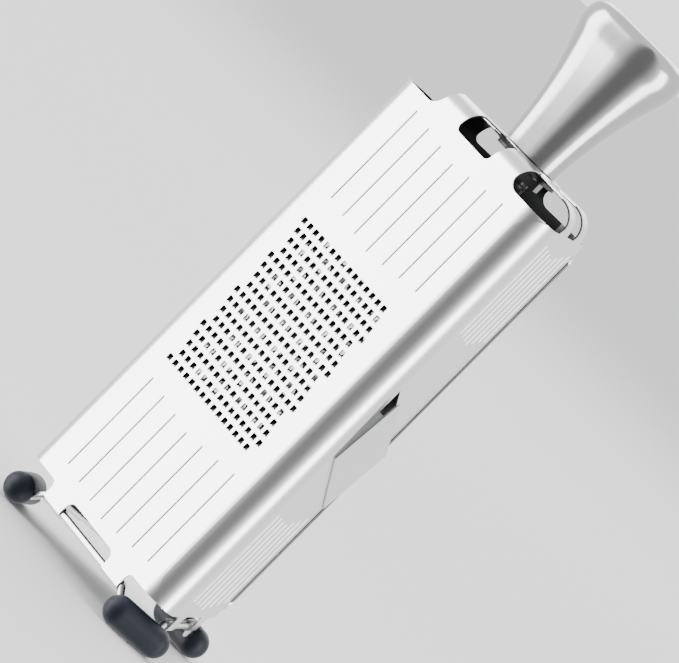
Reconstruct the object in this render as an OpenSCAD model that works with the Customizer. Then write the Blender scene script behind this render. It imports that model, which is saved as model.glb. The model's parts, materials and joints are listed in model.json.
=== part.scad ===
// Three-sided tower grater: three sheet-steel faces curled over one another at the corners,
// standing on a wire ring with rubber feet, with a flared steel handle that swivels on top.
// The part stands on its feet: the origin is on the ground, on the axis, and +Z points up.

/* [Tower] */
// Distance from the axis to the outer side of each face
face_r = 35; // [30:0.5:42]
// Height of the bottom edge of the faces above the ground
panel_bottom = 20.5; // [20:0.5:26]
// Height of the top edge of the faces above the ground
panel_top = 243; // [200:1:292]
// Thickness of the sheet
sheet_t = 0.8; // [0.6:0.05:1]
// Outer radius of the curl along each corner
curl_r = 10.6; // [9:0.1:12]
// Angle that the curl covers
curl_angle = 105; // [80:1:108]
// Gap between a curl and the bent edge inside it
curl_gap = 0.4; // [0.3:0.05:0.6]
// Rounding of the free corners of the curl
curl_corner_r = 14; // [6:0.5:14.5]
// Angle that the bent edge inside the curl covers
tuck_angle = 70; // [40:1:85]

/* [Shoulders] */
// Height from the top edge of the faces up to the top flange
shoulder_rise = 12; // [12:0.5:16]
// Outer radius of the shoulder bend
shoulder_r = 10; // [6:0.5:10]
// Half width of the window between the two straps of a face
strap_in = 12; // [8:0.5:14]
// Distance from the middle of the face to the outer side of a strap
strap_out = 28; // [24:0.5:30]
// Radius where a strap runs into the top edge
strap_fillet = 6; // [2:0.5:7]
// Radius of the round hub of each flange
hub_r = 17; // [15:0.5:19]

/* [Hem and wire ring] */
// Diameter of the wire
wire_d = 3.2; // [2.4:0.1:4]
// Height of the wire in the hems above the ground
wire_z = 13.5; // [11:0.5:15]
// Free space between the wire and the hem rolled round it
hem_gap = 0.05; // [0.02:0.01:0.1]
// Half width of the window between the two hem knuckles
hem_in = 18; // [14:0.5:20]
// Distance from the middle of the face to the outer side of a knuckle
hem_out = 31; // [28:0.5:33]
// Angle that the hem wraps round the wire
hem_angle = 275; // [200:5:300]
// Radius of the wire's bend in each foot
wire_bend_r = 10.4; // [8:0.1:13]

/* [Rubber feet] */
// Diameter of a foot
foot_d = 14; // [12:0.5:17]
// Length of a foot over its round ends
foot_len = 34; // [28:1:40]

/* [Fine face] */
// Rows of teeth
fine_rows = 17; // [8:1:18]
// Teeth in a row
fine_cols = 15; // [8:1:16]
// Distance from tooth to tooth in a row
fine_pitch = 4.5; // [4:0.1:4.8]
// Distance from row to row
fine_row_pitch = 5; // [4.5:0.1:5.5]
// Width of a punched hole
fine_hole_w = 2.8; // [2:0.1:3.2]
// Height of a punched hole
fine_hole_h = 3.3; // [2.4:0.1:3.8]
// Height of the lowest row above the ground
fine_z = 90.8; // [85:0.1:95]
// Sideways place of the first hole of the lowest row
fine_x = -34.9; // [-36:0.1:-30]
// How far a tooth stands out of the face
fine_tooth = 1; // [0.4:0.1:1.4]

/* [Slicing face] */
// Half width of the blade
blade_half = 39.5; // [32:0.5:40]
// Slope of the blade
blade_slope = 18.5; // [10:0.5:25]
// Height of the lower edge of the blade, at the middle of the face
blade_z = 100; // [92:0.5:110]
// Height of the blade, straight up
blade_h = 34.8; // [24:0.2:40]
// Width of the slot above the cutting edge, straight up
slot_h = 4; // [3:0.1:6]
// How far the cutting edge stands out of the face
blade_rise = 3; // [1.5:0.1:4]
// Thickness of the blade
blade_t = 0.8; // [0.5:0.05:1]
// Length of the ground bevel at the cutting edge
bevel_l = 2.4; // [1:0.1:4]
// Height of the gussets that hold the blade's sides
gusset_h = 26.5; // [15:0.5:30]

/* [Coarse face] */
// Rows of hooded holes
coarse_rows = 9; // [4:1:9]
// Hooded holes in a row
coarse_cols = 6; // [3:1:6]
// Distance from hole to hole in a row
coarse_pitch = 11; // [10:0.1:11.5]
// Distance from row to row
coarse_row_pitch = 9.6; // [9:0.1:10]
// Radius of the hood that is pressed over each hole
hood_r = 4.2; // [3:0.1:4.4]
// How far a hood stands out of the face
hood_rise = 2.2; // [1:0.1:2.6]

/* [Ribs] */
// Distance from rib to rib
rib_pitch = 11.16; // [10:0.01:11.5]
// Length of a rib
rib_len = 50; // [30:1:54]
// Height of the middle lower rib's bottom end above the ground
rib_low_z = 25.4; // [25:0.1:28]
// Distance from the middle upper rib's top end down from the top edge of the face
rib_top_gap = 11.3; // [8:0.1:16]
// Step in height from a rib to the next one
rib_step = 1.37; // [0:0.01:2]
// Half width of a rib
rib_w = 0.55; // [0.3:0.05:0.8]
// How far a rib stands out of the face
rib_h = 0.4; // [0.2:0.05:0.6]

/* [Handle] */
// Length of the handle
handle_len = 69.5; // [60:0.5:90]
// Half width at the base
handle_base_w = 14.2; // [12.8:0.1:15]
// Half width at the widest place of the flared end
handle_end_w = 26.5; // [20:0.1:30]
// How far the three lobes stand from the axis at the base
lobe_base = 3.6; // [0:0.1:4]
// How far the three lobes stand from the axis at the end
lobe_end = 9.5; // [0:0.1:11]
// Wall of the hollow handle
handle_wall = 1.6; // [1.2:0.1:2]
// Gap between the handle and the top flange
handle_gap = 0.6; // [0.3:0.1:1]

/* [Swivel] */
// Diameter of the shank of the pivot bolt
shank_d = 8; // [7:0.1:9]
// Radial clearance between the shank and the sleeve
swivel_clearance = 0.05; // [0.02:0.01:0.1]
// Diameter of the sleeve's tube
sleeve_d = 13.8; // [12.6:0.1:15]
// Diameter of the sleeve's collar
collar_d = 18; // [17:0.1:18.6]
// Thickness of the collar
collar_t = 1.2; // [0.8:0.1:1.6]
// Thickness of the plate under the flanges
hub_plate_t = 1.5; // [1:0.1:2]
// Length of the core that the handle is pressed onto
core_len = 22; // [18:0.5:24]
// Diameter of the core
core_d = 20; // [19.4:0.1:20]
// Diameter of the bolt's thread
thread_d = 6; // [5:0.1:6.5]

/* [Hidden] */

$fn = 48;
JOIN = 0.02;                                    // overlap that fuses two pieces of one sheet
CUT = 1;                                        // how far a cutter runs past what it cuts
STEEL = "lightsteelblue";
BRIGHT = "silver";
RUBBER = "midnightblue";
NYLON = "dimgray";

// The corner centres: a curl of radius curl_r on one face, a tuck of radius tuck_r on the next.
tuck_r = curl_r - sheet_t - curl_gap;
curl_in = face_r - curl_r;
tuck_in = face_r - tuck_r;
curl_x = round(1e3 * (2 * tuck_in + curl_in) / sqrt(3)) / 1e3;
tuck_x = round(1e3 * (2 * curl_in + tuck_in) / sqrt(3)) / 1e3;

flange_z = panel_top + shoulder_rise;           // top of the uppermost flange
flange_in = face_r - shoulder_r;                // where the flat flange starts
wire_r = wire_d / 2;
knuckle_r = wire_r + hem_gap + sheet_t;
wire_in = face_r - knuckle_r;
foot_r = foot_d / 2;
foot_half = foot_len / 2 - foot_r;
wire_corner = 2 * wire_in;                      // where two straight wires would meet
wire_bend_x = sqrt(3) * (wire_in - wire_bend_r);
foot_out = wire_corner - wire_bend_r;           // outermost line of the bent wire
ramp_x = hem_out + 0.6;                         // where the wire starts to slope down
elbow = 0.04;                                   // how far a bent wire swells at an elbow
blade_drop = tan(blade_slope);

// The swivel, from the flange upwards and downwards
sleeve_hole_r = sleeve_d / 2 + 0.1;
collar_z = flange_z + collar_t;
washer_t = 1;
washer_z = collar_z + washer_t;
face_gap = 0.05;                                // gap between faces that turn on each other
core_z = washer_z + face_gap;
plate_z = flange_z - 3 * sheet_t - hub_plate_t;
lock_t = 0.8;
lock_z = plate_z - lock_t;
nut_t = 4;
nut_z = lock_z - nut_t;
nut_flats = 21;
sleeve_end = nut_z - 1.3;
thrust_t = 0.8;
thrust_z = sleeve_end - face_gap - thrust_t;
spring_t = 1;
spring_z = thrust_z - spring_t;
head_t = 4;
head_flats = 13;
handle_z = flange_z + handle_gap;
thread_len = 16;

// ---- helpers ----

function unit(v) = v / norm(v);
// A corner of a polygon rounded with radius r, as arc points.
function round_corner(a, b, c, r, n = 7) =
    let (u = unit(a - b), w = unit(c - b),
         half = acos(max(-1, min(1, u * w))) / 2,
         centre = b + unit(u + w) * r / sin(half),
         turn = sign(u.x * w.y - u.y * w.x) * (90 - half),
         start = atan2((b - centre).y, (b - centre).x))
    [for (i = [0 : n]) centre + r * [cos(start + turn * (1 - 2 * i / n)),
                                     sin(start + turn * (1 - 2 * i / n))]];
// A polygon from [x, y, radius] corners: radius 0 keeps a corner sharp.
function rounded(p) =
    let (n = len(p), at = function (i) [p[(i + n) % n].x, p[(i + n) % n].y])
    [for (i = [0 : n - 1])
        each (p[i].z > 0 ? round_corner(at(i - 1), at(i), at(i + 1), p[i].z) : [at(i)])];
function mirrored(p) = [for (i = [len(p) - 1 : -1 : 0]) [-p[i].x, p[i].y, p[i].z]];

module on_face(k) rotate([0, 0, 120 * k]) children();
// A plan drawn in the plane of a face, x across and y up, made into a plate of that face.
module upright(depth, thick) {
    translate([0, -depth, 0]) rotate([90, 0, 0]) translate([0, 0, -thick])
        linear_extrude(thick) children();
}
// A sheet bent to an arc in the YZ plane, running along X.
module bent(x0, x1, r_out, from, sweep) {
    translate([x0, 0, 0]) rotate([90, 0, 90]) rotate([0, 0, from])
        rotate_extrude(angle = sweep) translate([r_out - sheet_t, 0]) square([sheet_t, x1 - x0]);
}
// A round bar between two points, with round ends.
module bar(a, b, r) {
    d = b - a;
    translate(a) rotate([0, acos(d.z / norm(d)), atan2(d.y, d.x)]) cylinder(r = r, h = norm(d));
    translate(a) sphere(r = r);
    translate(b) sphere(r = r);
}
module ring(d_out, d_in, z, t) {
    translate([0, 0, z]) difference() {
        cylinder(d = d_out, h = t);
        translate([0, 0, -CUT]) cylinder(d = d_in, h = t + 2 * CUT);
    }
}

// ---- the sheet that every face is made of ----

// Front view of a face: knuckles below, straps above.
module face_front() {
    right = [[hem_in, panel_bottom, 4], [hem_in, wire_z, 0], [hem_out, wire_z, 0],
             [hem_out, panel_bottom, 3], [tuck_x, panel_bottom, 0],
             [tuck_x, panel_top, 0], [strap_out, panel_top, strap_fillet],
             [strap_out, flange_z + CUT, 0], [strap_in, flange_z + CUT, 0],
             [strap_in, panel_top, 3]];
    left = [for (p = mirrored(right)) p.x < -hem_out ? [-curl_x, p.y, p.z] : p];
    polygon(rounded(concat(right, left)));
}
// Plan of the flange: a round hub with two straps.
module flange_plan() {
    hub_x = hub_r * cos(25);
    right = [[strap_in, -flange_in, 0], [strap_out, -flange_in, 0],
             [hub_x, -hub_r * sin(25), 0]];
    inner = [[-5, -hub_r + 0.8, 3], [5, -hub_r + 0.8, 3]];
    difference() {
        union() {
            polygon(rounded(concat(right, mirrored(right), inner)));
            circle(r = hub_r);
        }
        circle(r = sleeve_hole_r);
    }
}
// An upright wall that bends on from the right-hand end of the plate.
module bent_wall(r, sweep) {
    rotate([0, 0, -90]) rotate_extrude(angle = sweep) translate([r - sheet_t, 0])
        square([sheet_t, panel_top - panel_bottom]);
}
// The curl over the next face's edge, with its free corners rounded.
module curl() {
    view = 270 - curl_angle + 18;               // the free corners are cut along this radius
    difference() {
        translate([-curl_x, -curl_in, panel_bottom]) mirror([1, 0, 0])
            bent_wall(curl_r, curl_angle);
        for (top = [0, 1])
            translate([-curl_x, -curl_in, top ? panel_top : panel_bottom])
                rotate([0, 0, view]) mirror([0, 0, top])
                translate([0, -curl_r * sin(18), 0]) free_corner();
    }
}
module free_corner() {
    c = curl_corner_r;
    near = 0.97 * c;                            // the round meets both edges at a slight angle
    difference() {
        translate([curl_r / 5, -CUT, -CUT]) cube([curl_r, near + CUT, near + CUT]);
        translate([0, near, near]) rotate([0, 90, 0]) cylinder(r = c, h = 2 * curl_r);
    }
}
module tuck() translate([tuck_x, -tuck_in, panel_bottom]) bent_wall(tuck_r, tuck_angle);
module knuckle(side) {
    x = side < 0 ? -hem_out : hem_in;
    translate([0, -wire_in, wire_z]) bent(x, x + hem_out - hem_in, knuckle_r, 180, hem_angle);
}
// level: which flange of the stack this sheet carries, 0 is the uppermost
module sheet(level) {
    top = flange_z - level * sheet_t;
    bend_z = top - shoulder_r;
    intersection() {
        union() {
            translate([-curl_x, -face_r, wire_z])
                cube([curl_x + tuck_x, sheet_t, bend_z - wire_z]);
            translate([0, -flange_in, bend_z])
                bent(-strap_out - 8, strap_out + 8, shoulder_r, 90, 90);
        }
        upright(face_r + CUT, shoulder_r + 2 * CUT) face_front();
    }
    translate([0, 0, top - sheet_t]) linear_extrude(sheet_t) flange_plan();
    curl();
    tuck();
    knuckle(-1);
    knuckle(1);
}
// One rib, a low bead with round ends, at x across the face.
module rib(x, z0, z1) {
    bead_r = (rib_w * rib_w + rib_h * rib_h) / (2 * rib_h);
    translate([x, -face_r + bead_r - rib_h, 0]) bar([0, 0, z0], [0, 0, z1], bead_r);
}
// Both groups of ribs, trimmed to the outer side of the face.
module ribs(low_end = function (x) 1e3, high_start = function (x) 0) {
    intersection() {
        translate([-face_r * 2, -face_r - CUT, 0])
            cube([face_r * 4, CUT + sheet_t / 2, flange_z]);
        union() for (i = [-3 : 3]) {
            x = i * rib_pitch;
            rise = abs(i) * rib_step;
            low = rib_low_z + rise;
            high = panel_top - rib_top_gap + rise;
            rib(x, low, min(low_end(x), low + rib_len));
            rib(x, max(high_start(x), high - rib_len), high);
        }
    }
}

// ---- the three faces ----

module fine_hole() {
    w = fine_hole_w / 2;
    h = fine_hole_h / 2;
    polygon([[-w, -h + 0.5], [-w * 0.55, -h], [w * 0.55, -h], [w, -h + 0.5],
             [w, h - 0.4], [w - 0.4, h], [-w + 0.4, h], [-w, h - 0.4]]);
}
// A pointed tooth bent out of the lower edge of its hole.
module fine_tooth() {
    reach = fine_hole_h * 0.68;
    lean = asin(fine_tooth / reach);
    translate([0, -face_r + sheet_t * 0.5, -fine_hole_h / 2 - 0.25]) rotate([90 - lean + 0, 0, 0])
        linear_extrude(sheet_t * 0.5) polygon([[-0.95, 0], [0.95, 0], [0, reach + 0.4]]);
}
// Each row steps back a quarter of the pitch, and every fourth row starts again.
function fine_place(row, col) =
    [fine_x + fine_pitch * (col + (4 - row % 4) % 4 / 4), fine_z + fine_row_pitch * row];

module face_fine() color(STEEL) {
    difference() {
        union() {
            sheet(0);
            ribs();
        }
        upright(face_r + CUT, sheet_t + 2 * CUT)
            for (row = [0 : fine_rows - 1], col = [0 : fine_cols - 1])
                translate(fine_place(row, col)) fine_hole();
    }
    for (row = [0 : fine_rows - 1], col = [0 : fine_cols - 1])
        translate([fine_place(row, col).x, 0, fine_place(row, col).y]) fine_tooth();
}

// Height of the blade's lower edge at x across the face.
function blade_low(x) = blade_z - x * blade_drop;

module slicer_opening() {
    x = blade_half;
    polygon([[-x, blade_low(-x)], [x, blade_low(x)],
             [x, blade_low(x) + blade_h + slot_h], [-x, blade_low(-x) + blade_h + slot_h]]);
}
// A triangular wall at each side of the opening, that the blade rests on.
module gusset(x) {
    z = blade_low(x);
    inward = x < 0 ? 0 : -sheet_t;
    translate([x + inward, -face_r + sheet_t, z]) rotate([90, 0, 90]) linear_extrude(sheet_t)
        polygon([[0, -2], [0, gusset_h], [-sheet_t - blade_rise * gusset_h / blade_h, gusset_h],
                 [-sheet_t, 0], [-sheet_t, -2]]);
}
module face_slicer() color(STEEL) on_face(1) {
    difference() {
        union() {
            sheet(1);
            ribs(function (x) blade_low(x) - 8,
                 function (x) blade_low(x) + blade_h + slot_h + 6);
        }
        upright(face_r + CUT, sheet_t + 2 * CUT) slicer_opening();
    }
    intersection() {
        for (x = [-blade_half, blade_half]) gusset(x);
        upright(face_r + 2 * blade_rise, 4 * blade_rise) slicer_opening();
    }
}
// The blade leans out from its lower edge, and is ground to an edge at the top.
module slicer_blade() color(BRIGHT) on_face(1) {
    x = blade_half - 0.1;
    lean = atan(blade_rise / blade_h);
    reach = blade_h / cos(lean);
    low = blade_low(0) + 0.15;
    gap = 0.05;
    multmatrix([[1, 0, 0, 0], [0, 1, 0, 0], [-blade_drop, 0, 1, 0], [0, 0, 0, 1]])
        translate([-x, -face_r - gap, low]) rotate([lean, 0, 0]) translate([0, 0, 0])
        rotate([90, 0, 90]) linear_extrude(2 * x)
        polygon([[-blade_t, 0], [0, 0], [0, reach - bevel_l], [-blade_t * 0.85, reach],
                 [-blade_t, reach]]);
}

module coarse_hood() {
    sink = hood_r - hood_rise;
    translate([0, -face_r + sink, 0]) difference() {
        sphere(r = hood_r);
        sphere(r = hood_r - sheet_t);
        translate([-hood_r - CUT, -sink + sheet_t / 2, -hood_r - CUT])
            cube(2 * (hood_r + CUT));
        translate([-hood_r - CUT, -hood_r - CUT, -hood_r - CUT])
            cube([2 * (hood_r + CUT), 2 * (hood_r + CUT), hood_r + CUT - 0.4]);
    }
}
function coarse_place(row, col) =
    [coarse_pitch * (col - (coarse_cols - 1) / 2 + (row % 2 ? 0.25 : -0.25)),
     (panel_top + panel_bottom) / 2 + coarse_row_pitch * (row - (coarse_rows - 1) / 2)];

module face_coarse() color(STEEL) on_face(2) {
    hole_r = sqrt(hood_r * hood_r - pow(hood_r - hood_rise, 2)) - sheet_t * 0.6;
    difference() {
        union() {
            sheet(2);
            ribs();
        }
        upright(face_r + CUT, sheet_t + 2 * CUT)
            for (row = [0 : coarse_rows - 1], col = [0 : coarse_cols - 1])
                translate(coarse_place(row, col)) circle(r = hole_r);
    }
    for (row = [0 : coarse_rows - 1], col = [0 : coarse_cols - 1])
        translate([coarse_place(row, col).x, 0, coarse_place(row, col).y]) coarse_hood();
}

// ---- wire ring and feet ----

module wire_ring() color(BRIGHT) for (k = [0 : 2]) on_face(k) {
    straight_rod([-ramp_x, -wire_in, wire_z], [ramp_x, -wire_in, wire_z]);
    for (s = [-1, 1]) wire_ramp(s);
    wire_corner_bend();
}
module straight_rod(a, b) {
    d = b - a;
    translate(a) rotate([0, acos(d.z / norm(d)), atan2(d.y, d.x)])
        cylinder(r = wire_r, h = norm(d));
}
// The wire slopes down from the hem to its foot, with an elbow at each end of the slope.
module wire_ramp(s) {
    a = [s * ramp_x, -wire_in, wire_z];
    b = [s * wire_bend_x, -wire_in, foot_r];
    straight_rod(a, b);
    for (p = [a, b]) translate(p) sphere(r = wire_r + elbow);
}
// The bend in the foot between this face and the next.
module wire_corner_bend() {
    rotate([0, 0, -30]) translate([wire_corner - 2 * wire_bend_r, 0, foot_r])
        rotate([0, 0, -60]) rotate_extrude(angle = 120) translate([wire_bend_r, 0])
        circle(r = wire_r);
}
// k: the face whose right-hand corner the foot is under
module foot(k) on_face(k) difference() {
    rotate([0, 0, -30]) translate([foot_out, 0, foot_r]) rotate([90, 0, 0]) capsule();
    wire_corner_bend();
    wire_ramp(1);
    on_face(1) wire_ramp(-1);
}
// A round-ended roll.
module capsule() rotate_extrude($fn = 64) intersection() {
    union() {
        translate([-foot_r, -foot_half]) square([foot_d, 2 * foot_half]);
        for (s = [-1, 1]) translate([0, s * foot_half]) circle(r = foot_r);
    }
    translate([0, -foot_len]) square([foot_d, 2 * foot_len]);
}
module foot_front() color(RUBBER) foot(0);
module foot_rear() color(RUBBER) foot(1);
module foot_left() color(RUBBER) foot(2);

// ---- hub: clamps the three flanges and carries the swivel ----

module hub_sleeve() color(BRIGHT) difference() {
    union() {
        translate([0, 0, sleeve_end]) cylinder(d = sleeve_d, h = flange_z - sleeve_end + JOIN);
        translate([0, 0, flange_z]) cylinder(d = collar_d, h = collar_t);
    }
    translate([0, 0, sleeve_end - CUT])
        cylinder(d = shank_d + 2 * swivel_clearance, h = collar_z - sleeve_end + 2 * CUT);
}
module hub_plate() color(STEEL) ring(2 * hub_r - 2, 2 * sleeve_hole_r, plate_z, hub_plate_t);
module hub_lock_washer() color(BRIGHT) difference() {
    ring(nut_flats, 2 * sleeve_hole_r, lock_z, lock_t);
    for (a = [0 : 30 : 330]) rotate([0, 0, a])
        translate([nut_flats / 2, 0, lock_z - CUT]) cylinder(r = 1, h = lock_t + 2 * CUT);
}
module hub_nut() color(BRIGHT) difference() {
    translate([0, 0, nut_z]) cylinder(d = nut_flats / cos(30), h = nut_t, $fn = 6);
    translate([0, 0, nut_z - CUT]) cylinder(d = sleeve_d + 0.1, h = nut_t + 2 * CUT);
}
module swivel_washer() color(NYLON)
    ring(collar_d, shank_d + 4 * swivel_clearance, collar_z, washer_t);
module thrust_washer() color(NYLON)
    ring(sleeve_d, shank_d + 4 * swivel_clearance, thrust_z, thrust_t);
module spring_washer() color(BRIGHT) difference() {
    ring(sleeve_d, shank_d + 4 * swivel_clearance, spring_z, spring_t);
    rotate([0, 0, 20]) translate([0, -0.5, spring_z - CUT])
        cube([sleeve_d, 1, spring_t + 2 * CUT]);
}
module pivot_bolt() color(BRIGHT) {
    translate([0, 0, spring_z - head_t]) cylinder(d = head_flats / cos(30), h = head_t, $fn = 6);
    translate([0, 0, spring_z - JOIN]) cylinder(d = shank_d, h = core_z - spring_z + JOIN);
    translate([0, 0, core_z - JOIN]) cylinder(d = thread_d, h = thread_len + JOIN);
}

// ---- handle ----

// Outline of the handle along its length: a slow flare, then a rolled rim.
function bezier(p, t) = pow(1 - t, 3) * p[0] + 3 * t * pow(1 - t, 2) * p[1]
    + 3 * t * t * (1 - t) * p[2] + pow(t, 3) * p[3];
FLARE = [[0, 0], [0.16, 0.40], [0.62, 0.63], [0.94, 0.785]];
RIM = [[0.94, 0.785], [1.11, 0.865], [1.0, 1], [0.38, 1]];
RIM_STEPS = 10;
FLARE_STEPS = 14;
function profile() = concat([for (i = [0 : FLARE_STEPS - 1]) bezier(FLARE, i / FLARE_STEPS)],
                            [for (i = [0 : RIM_STEPS]) bezier(RIM, i / RIM_STEPS)]);
// Cross-section: three round lobes a little past the corners of the tower, flats between.
LOBE_STEPS = 14;
VIEW_SHARE = 0.81;                              // share of a lobe's offset in the half width
function section(w, lobe, z) =
    let (r = w - VIEW_SHARE * lobe)
    [for (k = [0 : 2], i = [0 : LOBE_STEPS])
        let (a = 120 * k - 21, b = a - 60 + 120 * i / LOBE_STEPS)
        [lobe * cos(a) + r * cos(b), lobe * sin(a) + r * sin(b), z]];
module loft(rings) {
    n = len(rings[0]);
    m = len(rings);
    points = [for (r = rings, p = r) p];
    sides = [for (j = [0 : m - 2], i = [0 : n - 1])
        [j * n + i, (j + 1) * n + i, (j + 1) * n + (i + 1) % n, j * n + (i + 1) % n]];
    bottom = [for (i = [0 : n - 1]) i];
    top = [for (i = [n - 1 : -1 : 0]) (m - 1) * n + i];
    polyhedron(points = points, faces = concat(sides, [bottom, top]), convexity = 4);
}
// The handle's body, inset by a wall and cut off below a height.
function handle_rings(inset, from) = [for (p = profile())
    let (w = handle_base_w + (handle_end_w - handle_base_w) * p.x,
         lobe = lobe_base + (lobe_end - lobe_base) * min(1, p.y / 0.865),
         z = p.y * handle_len)
    if (z >= from) section(w - inset, lobe, handle_z + min(z, handle_len - inset))];

module handle_core() color(BRIGHT) difference() {
    translate([0, 0, core_z]) cylinder(d = core_d, h = core_len);
    translate([0, 0, core_z - CUT]) cylinder(d = thread_d, h = thread_len + CUT + 1);
}
module handle_shell() color(STEEL) {
    cavity_from = core_z + core_len - handle_z + 3;
    difference() {
        loft(handle_rings(0, 0));
        translate([0, 0, handle_z - CUT])
            cylinder(d = core_d, h = core_z + core_len - handle_z + CUT);
        loft(handle_rings(handle_wall, cavity_from));
    }
}

face_fine();
face_slicer();
face_coarse();
slicer_blade();
wire_ring();
foot_left();
foot_front();
foot_rear();
hub_sleeve();
hub_plate();
hub_lock_washer();
hub_nut();
swivel_washer();
thrust_washer();
spring_washer();
pivot_bolt();
handle_core();
handle_shell();
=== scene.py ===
# %% [markdown]
# # A three-sided tower grater
#
# Three faces of sheet steel are curled over one another at the corners, and stand on a wire
# ring with three rubber rolls. A flared steel handle turns on a pivot on top. The metal pieces
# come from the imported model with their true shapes, so this lesson is about three things:
# a camera and light that suit satin steel, the finishes, and the pieces whose surface has to be
# smoother or softer than a machined solid. This first cell loads the model and keeps its box.

# %% Load the model
import json
import math

import bpy
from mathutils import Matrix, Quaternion, Vector


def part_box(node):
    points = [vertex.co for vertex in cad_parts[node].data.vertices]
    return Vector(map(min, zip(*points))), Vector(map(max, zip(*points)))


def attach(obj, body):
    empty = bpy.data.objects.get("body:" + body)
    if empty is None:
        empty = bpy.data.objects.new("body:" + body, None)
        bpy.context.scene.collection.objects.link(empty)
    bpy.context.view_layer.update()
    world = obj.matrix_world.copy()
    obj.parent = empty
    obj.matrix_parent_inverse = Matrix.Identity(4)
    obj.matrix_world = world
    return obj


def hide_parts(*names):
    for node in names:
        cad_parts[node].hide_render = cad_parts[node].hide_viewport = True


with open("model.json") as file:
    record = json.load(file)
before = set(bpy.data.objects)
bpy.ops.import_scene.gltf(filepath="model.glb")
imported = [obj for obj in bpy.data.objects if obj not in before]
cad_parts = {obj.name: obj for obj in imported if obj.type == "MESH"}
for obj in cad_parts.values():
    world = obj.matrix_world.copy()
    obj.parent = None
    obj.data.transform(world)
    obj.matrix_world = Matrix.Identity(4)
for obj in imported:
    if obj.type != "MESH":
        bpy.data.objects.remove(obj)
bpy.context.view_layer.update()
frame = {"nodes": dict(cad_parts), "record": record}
MM = 0.001

# %% [markdown]
# ## Camera
# A tall, thin object looks calm when the camera stands far away and has a long lens: edges stay
# nearly parallel. The camera looks at the corner between the fine face and the slicing face, a
# little from above, and it is rolled so that the grater lies across the view.

# %% Camera
def look_from(azimuth, elevation):
    """The direction from the object to a camera: azimuth 0 is in front of the fine face."""
    a, e = math.radians(azimuth), math.radians(elevation)
    return Vector((math.sin(a) * math.cos(e), -math.cos(a) * math.cos(e), math.sin(e)))


def look_at_turn(back):
    """The turn that makes a camera or a lamp look against the direction back."""
    return (-back).to_track_quat("-Z", "Y")


VIEW_AZIMUTH, VIEW_ELEVATION, VIEW_ROLL = 38.995, 4.822, 44.765
VIEW_CENTRE, VIEW_DISTANCE = Vector((-0.0050, -0.00405, 0.1479)), 2.5486
lens_data = bpy.data.cameras.new("studio_camera")
lens_data.lens = 324.3
lens_data.sensor_width = 36
lens_data.clip_start, lens_data.clip_end = 0.1, 20
camera = bpy.data.objects.new("studio_camera", lens_data)
bpy.context.scene.collection.objects.link(camera)
back = look_from(VIEW_AZIMUTH, VIEW_ELEVATION)
camera.rotation_mode = "QUATERNION"
camera.location = VIEW_CENTRE + back * VIEW_DISTANCE
camera.rotation_quaternion = look_at_turn(back) @ Quaternion((0, 0, 1), math.radians(VIEW_ROLL))
bpy.context.scene.camera = camera
print("camera at", tuple(round(v, 3) for v in camera.location))

# %% [markdown]
# ## Floor and light
# Satin steel shows its surroundings, blurred. What makes it look like steel is a bright wall on
# one side of the camera, a darker gap, and another bright wall, because the curled corner and
# the handle then sweep from light to dark and back. The darker gap is a part of the room, the
# softboxes are tall so that the flare of the handle finds them too, and the steel doesn't mirror
# the floor, as if it stood on a clear stand.

# %% Floor
bpy.ops.object.select_all(action="DESELECT")
bpy.ops.mesh.primitive_plane_add(size=200, location=(0, 0, 0))
floor = bpy.context.object
floor.name = "floor"
paper = bpy.data.materials.new("pale_paper")
paper.use_nodes = True
paper.node_tree.nodes["Principled BSDF"].inputs["Base Color"].default_value = (0.66, 0.66, 0.66, 1)
paper.node_tree.nodes["Principled BSDF"].inputs["Roughness"].default_value = 0.8
floor.data.materials.append(paper)
floor.visible_glossy = False         # the steel mirrors the room, as on a clear stand
print("floor made")

# %% [markdown]
# The room comes first, bright all round but for one soft gap of azimuths, and then three
# softboxes. The room's strength is worked out from the compass direction alone.

# %% Light
world = bpy.data.worlds.new("studio")
bpy.context.scene.world = world
world.use_nodes = True
world.node_tree.nodes["Background"].inputs["Color"].default_value = (1, 1, 1, 1)
OPEN_ROOM, DARK_SIDE, DARK_AZIMUTH = 1.9, 0.35, 34
DARK_EDGE, DARK_CORE = math.radians(56), math.radians(12)
room = world.node_tree.nodes
heading = room.new("ShaderNodeTexCoord")
level, compass, toward = (room.new("ShaderNodeVectorMath") for step in range(3))
level.operation, compass.operation, toward.operation = "MULTIPLY", "NORMALIZE", "DOT_PRODUCT"
level.inputs[1].default_value = (1, 1, 0)
toward.inputs[1].default_value = look_from(DARK_AZIMUTH, 0)
fade = room.new("ShaderNodeMapRange")
fade.interpolation_type = "SMOOTHSTEP"
fade.inputs["From Min"].default_value = math.cos(DARK_EDGE)
fade.inputs["From Max"].default_value = math.cos(DARK_CORE)
fade.inputs["To Min"].default_value, fade.inputs["To Max"].default_value = OPEN_ROOM, DARK_SIDE
world.node_tree.links.new(heading.outputs["Generated"], level.inputs[0])
world.node_tree.links.new(level.outputs["Vector"], compass.inputs[0])
world.node_tree.links.new(compass.outputs["Vector"], toward.inputs[0])
world.node_tree.links.new(toward.outputs["Value"], fade.inputs["Value"])
world.node_tree.links.new(fade.outputs["Result"],
                          world.node_tree.nodes["Background"].inputs["Strength"])


MIDDLE = Vector((0, 0, 0.16))


def softbox(name, azimuth, elevation, distance, width, height, power):
    data = bpy.data.lights.new(name, "AREA")
    data.shape = "RECTANGLE"
    data.size, data.size_y, data.energy = width, height, power
    lamp = bpy.data.objects.new(name, data)
    bpy.context.scene.collection.objects.link(lamp)
    away = look_from(azimuth, elevation)
    lamp.location = MIDDLE + away * distance
    lamp.rotation_mode = "QUATERNION"
    lamp.rotation_quaternion = look_at_turn(away)
    print("softbox", name, "at", tuple(round(v, 2) for v in lamp.location))
    return lamp


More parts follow.
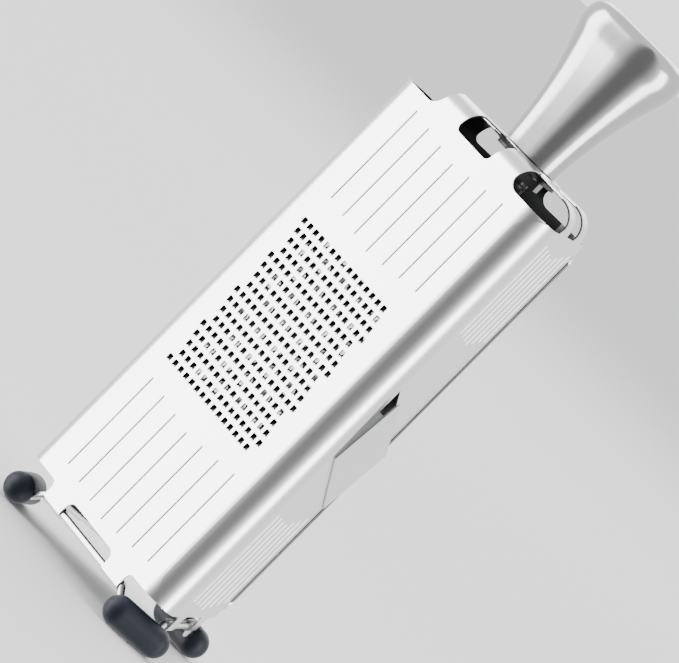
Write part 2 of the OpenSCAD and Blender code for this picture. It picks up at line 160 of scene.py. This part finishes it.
softbox("left_wall", -46, -6, 1.7, 1.2, 3.0, 130)
softbox("right_wall", 104, -6, 1.7, 0.8, 3.0, 80)
softbox("back_wall", 215, 35, 3.4, 3.2, 2.0, 80)

# %% [markdown]
# ## Writing a finish as sums
# A finish is a small calculation over the surface: how rough, how dark, how raised. Writing it
# as Python sums is easier to read than wires between boxes, so one class wraps a node's output
# and turns + - * into Math nodes, and one method makes every other node.

# %% Finish helpers
class Amount:
    """A number that varies over a surface. Sums on it add Math nodes to its finish."""

    def __init__(self, finish, socket):
        self.finish, self.socket = finish, socket

    def sum(self, operation, *parts):
        return self.finish.node("Math", {"operation": operation}, dict(enumerate(parts)))

    def __add__(self, other):
        return self.sum("ADD", self, other)

    __radd__ = __add__

    def __sub__(self, other):
        return self.sum("SUBTRACT", self, other)

    def __rsub__(self, other):
        return self.sum("SUBTRACT", other, self)

    def __mul__(self, other):
        return self.sum("MULTIPLY", self, other)

    __rmul__ = __mul__

    def over(self, low, high):
        """0 below low, 1 above high, and a smooth rise between them."""
        return self.finish.node("MapRange", {"interpolation_type": "SMOOTHSTEP"},
                                {"Value": self, "From Min": low, "From Max": high})


class Finish:
    """A material with one Principled shader."""

    def __init__(self, name, **constants):
        self.material = bpy.data.materials.new(name)
        self.material.use_nodes = True
        self.nodes = self.material.node_tree.nodes
        self.links = self.material.node_tree.links
        self.shader = self.nodes["Principled BSDF"]
        for socket, value in constants.items():
            self.put(self.shader, socket.replace("_", " "), value)
        self.place = self.node("TexCoord", {}, {}, "Object")

    def put(self, node, socket, value):
        if isinstance(value, Amount):
            self.links.new(value.socket, node.inputs[socket])
        else:
            node.inputs[socket].default_value = value

    def node(self, kind, settings, sockets, output=0):
        made = self.nodes.new("ShaderNode" + kind)
        for key, value in settings.items():
            setattr(made, key, value)
        for key, value in sockets.items():
            self.put(made, key, value)
        return Amount(self, made.outputs[output])

    def stretched(self, across, along):
        """The place on the object, scaled so that a pattern is long in Z and fine across it."""
        return self.node("Mapping", {}, {"Vector": self.place, "Scale": (across, across, along)})

    def noise(self, vector, detail=3.0, roughness=0.5):
        sockets = {"Vector": vector, "Scale": 1.0, "Detail": detail, "Roughness": roughness}
        return self.node("TexNoise", {}, sockets)

    def blend(self, amount, low, high):
        """A colour between low and high."""
        colours = {"Factor": amount, 6: low, 7: high}
        return self.node("Mix", {"data_type": "RGBA"}, colours, 2)

    def surface(self, colour=None, roughness=None, height=None, relief=0.00002):
        if colour is not None:
            self.put(self.shader, "Base Color", colour)
        if roughness is not None:
            self.put(self.shader, "Roughness", roughness)
        if height is not None:
            sockets = {"Height": height, "Strength": 1.0, "Distance": relief}
            self.put(self.shader, "Normal", self.node("Bump", {}, sockets))
        return self.material


def grey(value, tint=0.0):
    """A grey, a little bluer when tint is above 0."""
    return (value * (1 - tint), value * (1 - tint * 0.4), value * (1 + tint), 1)


print("finish helpers ready")

# %% [markdown]
# ## Satin sheet steel
# The faces are cut from sheet that was brushed along its length before it was bent, so fine
# lines run up and down each face and round the curled corners with it. A noise that is stretched
# along Z gives those lines; a slow second noise lets the gloss drift as on handled steel. The
# side that faces into the tower is rougher and gets a painted shade, near black, so the holes
# read as black.

# %% Sheet steel
SHEET = 0.0008
CURL_CENTRE, CURL_RADIUS = (-0.04365, -0.0244), 0.0106
CURL_FROM = 0.0546                   # a curl starts this far from the axis
SHOULDER_IN, SHOULDER_RADIUS = 0.025, 0.010
SHOULDER_LEVELS = {0: 0.2450, 120: 0.2442, 240: 0.2434}
HEM_TOP = 0.0200


def outward_side(finish):
    """1 on the outer side of the faces, shoulders, curls and hems, 0 inside the tower, where shade is
    painted.
    """
    height = finish.node("SeparateXYZ", {}, {"Vector": finish.place}, "Z")
    flat = finish.node("VectorMath", {"operation": "MULTIPLY"},
                       {0: finish.place, 1: (1, 1, 0)}, "Vector")
    farthest, reaches, curl, face = None, {}, 0, 0
    for turn in SHOULDER_LEVELS:
        a, c = math.radians(turn), math.radians(turn - 60)
        square = (math.sin(a), -math.cos(a), 0)
        to_corner = (math.sin(c), -math.cos(c), 0)
        dot = {"operation": "DOT_PRODUCT"}
        reach = finish.node("VectorMath", dot, {0: finish.place, 1: square}, "Value")
        reaches[turn] = reach
        farthest = reach if farthest is None else reach.sum("MAXIMUM", reach, farthest)
        outward = finish.node("VectorMath", dot, {0: finish.place, 1: to_corner}, "Value")
        x, y = CURL_CENTRE
        centre = (x * math.cos(a) - y * math.sin(a), x * math.sin(a) + y * math.cos(a), 0)
        away = finish.node("VectorMath", {"operation": "DISTANCE"}, {0: flat, 1: centre}, "Value")
        curl = (outward.over(CURL_FROM, CURL_FROM + 0.5 * SHEET)
                * away.over(CURL_RADIUS - 2.35 * SHEET, CURL_RADIUS - 2.1 * SHEET)) + curl
    for turn, level in SHOULDER_LEVELS.items():
        out = reaches[turn].sum("MAXIMUM", reaches[turn] - SHOULDER_IN, 0.0)
        up = height.sum("MAXIMUM", height - level, 0.0)
        bend = out.sum("SQRT", out * out + up * up)
        nearest = reaches[turn].sum("GREATER_THAN", reaches[turn] + 1e-5, farthest)
        face = (nearest * bend.over(SHOULDER_RADIUS - 0.6 * SHEET,
                                    SHOULDER_RADIUS - 0.3 * SHEET)) + face
    hem = 1 - height.over(HEM_TOP - 0.0005, HEM_TOP)
    return (face + curl + hem).over(0.2, 0.8)


def sheet_steel(name, base, tint, gloss, inside=True):
    finish = Finish(name, Metallic=1.0)
    lines = finish.noise(finish.stretched(2600, 26), 4.0, 0.62)
    scratches = finish.noise(finish.stretched(900, 9), 2.0)
    drift = finish.noise(finish.stretched(18, 11), 2.0)
    tone = (lines - 0.5) * 0.35 + (scratches - 0.5) * 0.25 + (drift - 0.5) * 0.25 + 0.5
    colour = finish.blend(tone, grey(base * 0.86, tint), grey(base, tint))
    roughness = gloss + (lines - 0.5) * 0.10 + (drift - 0.5) * 0.07
    # With inside, the side that faces into the tower gets a painted shade: its colour is near black,
    # and its roughness is raised.
    if inside:
        outer = outward_side(finish)
        colour = finish.blend(outer, grey(0.025, 0.02), colour)
        roughness = roughness + (1 - outer) * 0.25
    return finish.surface(colour, roughness, lines * 0.7 + scratches * 0.3, 0.000012)


steel = {
    "sheet_steel": sheet_steel("satin_sheet_steel", 0.66, 0.004, 0.3),
    "blade_steel": sheet_steel("ground_blade_steel", 0.56, 0.02, 0.26, inside=False),
}
print("sheet finishes:", [m.name for m in steel.values()])

# %% [markdown]
# ## Wire, hub and handle steel
# The wire is drawn, the hub is blackened and out of sight, and the handle is polished along its
# length. One function makes all three, with the spacing of its lines as the difference.

# %% Wire, hub and handle steel
def smooth_steel(name, base, gloss, across, along):
    """Drawn, turned or polished steel: finer, glossier lines than the sheet."""
    finish = Finish(name, Metallic=1.0)
    lines = finish.noise(finish.stretched(across, along), 3.0)
    haze = finish.noise(finish.stretched(70, 55), 3.0)
    colour = finish.blend((lines - 0.5) * 0.3 + haze, grey(base * 0.88), grey(base))
    roughness = gloss + (lines - 0.5) * 0.06 + (haze - 0.5) * 0.08
    return finish.surface(colour, roughness, lines, 0.000006)


steel["wire_steel"] = smooth_steel("drawn_wire_steel", 0.6, 0.27, 1600, 300)
steel["hub_steel"] = smooth_steel("blackened_hub_steel", 0.07, 0.34, 500, 2500)
steel["handle_steel"] = smooth_steel("satin_handle_steel", 0.40, 0.2, 1900, 45)
print("more steel:", list(steel))

# %% [markdown]
# ## Rubber and washer plastic
# The rolls are soft, blue-black rubber with a fine moulded grain that takes the shine off.

# %% Rubber and plastic
def moulded(name, colour, dusty, gloss, grain):
    finish = Finish(name, Specular_IOR_Level=0.22)
    fine = finish.noise(finish.stretched(grain, grain), 3.0, 0.6)
    dust = finish.noise(finish.stretched(120, 120), 3.0)
    shade = finish.blend(dust.over(0.35, 0.75), colour, dusty)
    return finish.surface(shade, gloss + (fine - 0.5) * 0.2, fine, 0.00003)


steel["foot_rubber"] = moulded("foot_rubber", (0.004, 0.006, 0.013, 1), (0.008, 0.01, 0.02, 1),
                               0.52, 2600)
steel["washer_plastic"] = moulded("washer_plastic", (0.02, 0.02, 0.022, 1),
                                  (0.03, 0.03, 0.033, 1), 0.5, 1800)
slot_of = {row["node"]: row["material_slot"] for row in frame["record"]["subparts"]}
for name, piece in frame["nodes"].items():
    piece.data.materials.clear()
    piece.data.materials.append(steel[slot_of[name]])
print("finished", len(slot_of), "pieces")

# %% [markdown]
# ## Modelling by selecting
# Every new piece starts as a primitive and is shaped in edit mode. An operator works on what is
# selected, so two helpers come first: one that starts clean, and one that selects by place.

# %% Modelling helpers
def start(name):
    """Leaves only the new primitive selected, names it and opens it for editing."""
    piece = bpy.context.object
    piece.name = piece.data.name = name
    bpy.ops.object.mode_set(mode="EDIT")
    return piece


def pick(piece, test):
    """Selects the vertices whose place passes the test, and what lies between them."""
    bpy.ops.mesh.select_mode(type="VERT")
    bpy.ops.mesh.select_all(action="DESELECT")
    bpy.ops.object.mode_set(mode="OBJECT")
    for corner in piece.data.vertices:
        corner.select = test(piece.matrix_world @ corner.co)
    bpy.ops.object.mode_set(mode="EDIT")
    bpy.ops.mesh.select_mode(type="VERT")


def extrude_to(rise, scale, level):
    """Pulls the selected ring up by rise, and scales it about the axis at its new level."""
    bpy.ops.mesh.extrude_region_move(TRANSFORM_OT_translate={"value": (0, 0, rise)})
    if scale != 1:
        bpy.ops.transform.resize(value=(scale, scale, 1), center_override=(0, 0, level))


def close_piece(piece, body, stands_for, finish_slot, smooth_angle=40):
    """Back to object mode, place kept in the mesh, normals outward, and on its body."""
    bpy.ops.mesh.select_all(action="SELECT")
    bpy.ops.mesh.remove_doubles(threshold=1e-6)
    bpy.ops.mesh.normals_make_consistent(inside=False)
    bpy.ops.object.mode_set(mode="OBJECT")
    bpy.ops.object.transform_apply(location=True, rotation=True, scale=True)
    bpy.ops.object.shade_smooth_by_angle(angle=math.radians(smooth_angle))
    piece.data.materials.clear()
    piece.data.materials.append(steel[finish_slot])
    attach(piece, body)
    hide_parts(stands_for)
    print(piece.name, "has", len(piece.data.polygons), "faces")
    return piece


# %% [markdown]
# ## Handle
# The handle is a pressed and polished shell. Its section is a triangle so soft that it is nearly
# round, and it flares in one long curve to a rolled end. A circle split into three arcs gives
# that section exactly: the arcs are moved apart, and the edges between them become the flats.
# The section is then pulled up ring by ring, each one as wide as the flare says.

# %% Handle: the section
handle_low, handle_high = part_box("handle_shell")
HANDLE_LENGTH = handle_high.z - handle_low.z
BASE_HALF_WIDTH, END_HALF_WIDTH = 14.2 * MM, 26.5 * MM
LOBE_RATIO = 0.44                    # how far a lobe stands from the axis, by its own radius
lobe_radius = BASE_HALF_WIDTH / (1 + 0.81 * LOBE_RATIO)
bpy.ops.object.select_all(action="DESELECT")
bpy.ops.mesh.primitive_circle_add(vertices=48, radius=lobe_radius, fill_type="NOTHING",
                                  location=(0, 0, handle_low.z), rotation=(0, 0, math.radians(12.75)))
handle = start("handle")
for corner in (-21, 99, 219):
    out = Vector((math.cos(math.radians(corner)), math.sin(math.radians(corner)), 0))
    pick(handle, lambda p: Vector((p.x, p.y, 0)).normalized().dot(out) > 0.5 + 1e-4)
    bpy.ops.transform.translate(value=out * lobe_radius * LOBE_RATIO)
bpy.ops.mesh.select_all(action="DESELECT")
bpy.ops.mesh.select_mode(type="EDGE")
bpy.ops.object.mode_set(mode="OBJECT")
for edge in handle.data.edges:
    a, b = (handle.data.vertices[i].co for i in edge.vertices)
    edge.select = (a - b).length > lobe_radius * 0.3
bpy.ops.object.mode_set(mode="EDIT")
bpy.ops.mesh.subdivide(number_cuts=4)
print("section corners:", len(handle.data.vertices))

# %% [markdown]
# The outline is two smooth curves, a slow flare and a tight roll over the rim. Each ring is
# pulled up to the next height and widened about the axis, which keeps the section's shape.

# %% Handle: the flare
def bezier(points, t):
    weights = ((1 - t) ** 3, 3 * t * (1 - t) ** 2, 3 * t * t * (1 - t), t ** 3)
    return [sum(w * p[i] for w, p in zip(weights, points)) for i in (0, 1)]


FLARE = ((0, 0), (0.16, 0.40), (0.62, 0.63), (0.94, 0.785))
RIM = ((0.94, 0.785), (1.11, 0.865), (1.0, 1.0), (0.38, 1.0))
rings = [bezier(FLARE, i / 20) for i in range(1, 20)] + [bezier(RIM, i / 16) for i in range(17)]
bpy.ops.mesh.select_all(action="SELECT")
width, level = BASE_HALF_WIDTH, handle_low.z
for share, height in rings:
    new_width = BASE_HALF_WIDTH + (END_HALF_WIDTH - BASE_HALF_WIDTH) * share
    new_level = handle_low.z + HANDLE_LENGTH * height
    extrude_to(new_level - level, new_width / width, new_level)
    width, level = new_width, new_level
for share in (0.7, 0.55, 0.4):
    extrude_to(0, share, level)
bpy.ops.mesh.edge_face_add()
print("rings:", len(rings))

# %% [markdown]
# The lower end turns in and up round the core, so that the shell has a lip and not a bare edge.

# %% Handle: the mouth that sits on the core
pick(handle, lambda p: p.z < handle_low.z + 1e-5)
extrude_to(0, 0.97, handle_low.z)
extrude_to(0, 0.9, handle_low.z)
extrude_to(20 * MM, 1, handle_low.z)
bpy.ops.mesh.edge_face_add()
close_piece(handle, "handle", "handle_shell", "handle_steel", 60)

# %% [markdown]
# ## Rubber rolls
# Each corner stands on a soft roll that is moulded round the bend of the wire. A ball's halves
# are pulled apart to make a round-ended roll, and the ring between them is bevelled into bands.
# One roll is made under the rear corner, and two copies are turned to the other corners.

# %% Rubber rolls
foot_low, foot_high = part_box("foot_rear")
ROLL_RADIUS = (foot_high.z - foot_low.z) / 2
ROLL_HALF = (foot_high.x - foot_low.x) / 2 - ROLL_RADIUS
ROLL_OUT = (foot_low.y + foot_high.y) / 2
bpy.ops.object.select_all(action="DESELECT")
bpy.ops.mesh.primitive_uv_sphere_add(segments=40, ring_count=20, radius=ROLL_RADIUS,
                                     location=(0, ROLL_OUT, ROLL_RADIUS),
                                     rotation=(0, math.pi / 2, 0))
roll = start("roll_rear")
for side in (-1, 1):
    pick(roll, lambda p: p.x * side > 1e-5)
    bpy.ops.transform.translate(value=(side * ROLL_HALF, 0, 0))
pick(roll, lambda p: abs(p.x) < 1e-5)
bpy.ops.mesh.bevel(offset=ROLL_HALF * 0.96, segments=6, profile=0.5)
close_piece(roll, "tower", "foot_rear", "foot_rubber")

# %% Rubber rolls: the other corners
for turn, name, node in ((120, "roll_left", "foot_left"), (240, "roll_front", "foot_front")):
    bpy.ops.object.select_all(action="DESELECT")
    roll.select_set(True)
    bpy.context.view_layer.objects.active = roll
    bpy.ops.object.duplicate(linked=False)
    copy = start(name)
    bpy.ops.mesh.select_all(action="SELECT")
    bpy.ops.transform.rotate(value=-math.radians(turn), orient_axis="Z",
                             center_override=(0, 0, 0))
    copy.parent = None
    close_piece(copy, "tower", node, "foot_rubber")
    low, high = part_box(node)
    print(name, "centre", tuple(round(sum(v.co[i] for v in copy.data.vertices)
                                      / len(copy.data.vertices), 4) for i in range(3)),
          "foot centre", tuple(round((low[i] + high[i]) / 2, 4) for i in range(3)))
